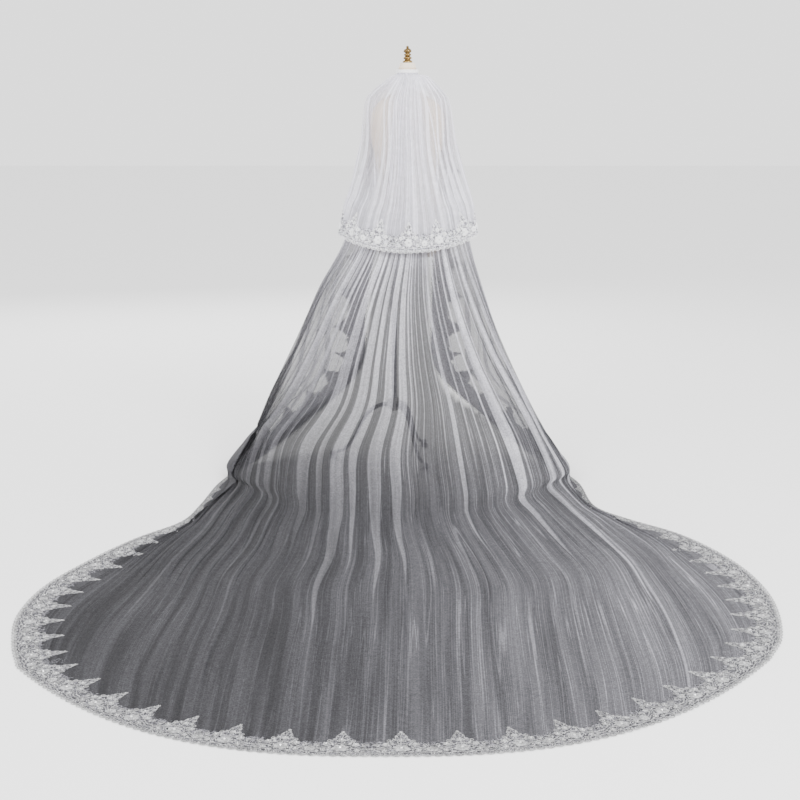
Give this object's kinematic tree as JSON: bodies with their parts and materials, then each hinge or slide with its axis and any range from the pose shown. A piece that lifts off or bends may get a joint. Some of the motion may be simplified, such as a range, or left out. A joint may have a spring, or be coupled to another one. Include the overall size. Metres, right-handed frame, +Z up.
{
  "type": "two-tier bridal veil on a dress form",
  "caption": "Long sheer bridal veil in tiers with scalloped floral lace edges, gathered on a comb, draped over a limbless dress form on a tripod stand, its train spread on the floor.",
  "frame": {"origin": "centre of the footprint of veil and stand, on the floor", "axes": "+Y is the way the dress form faces, the train lies towards -Y, +X is to the right of someone who looks at the veil from behind, +Z is up"},
  "size_m": [2.2501, 3.3166, 1.7],
  "materials": {
    "net": "matte sheer net",
    "lace": "corded lace with a soft sheen",
    "binding": "satin binding",
    "comb": "clear satin plastic",
    "jersey": "matte jersey over padding",
    "cap": "matte jersey over a wooden cap",
    "finial_brass": "polished, slightly aged",
    "cream_metal": "satin cream paint",
    "dark_metal": "satin dark paint",
    "foot_rubber": "matte"
  },
  "bodies": {
    "root": {"binding": "binding", "comb": "comb", "form_body": "jersey", "form_cap": "cap", "form_finial": "finial_brass", "long_tier": "net", "long_tier_lace_hem": "lace", "long_tier_lace_left": "lace", "long_tier_lace_right": "lace", "short_tier": "net", "short_tier_lace_hem": "lace", "short_tier_lace_left": "lace", "short_tier_lace_right": "lace", "stand_collar": "cream_metal", "stand_flange": "cream_metal", "stand_foot_a": "foot_rubber", "stand_foot_b": "foot_rubber", "stand_foot_c": "foot_rubber", "stand_hub": "cream_metal", "stand_leg_a": "dark_metal", "stand_leg_b": "dark_metal", "stand_leg_c": "dark_metal", "stand_lower_pole": "dark_metal", "stand_upper_tube": "cream_metal"}
  },
  "joints": []
}
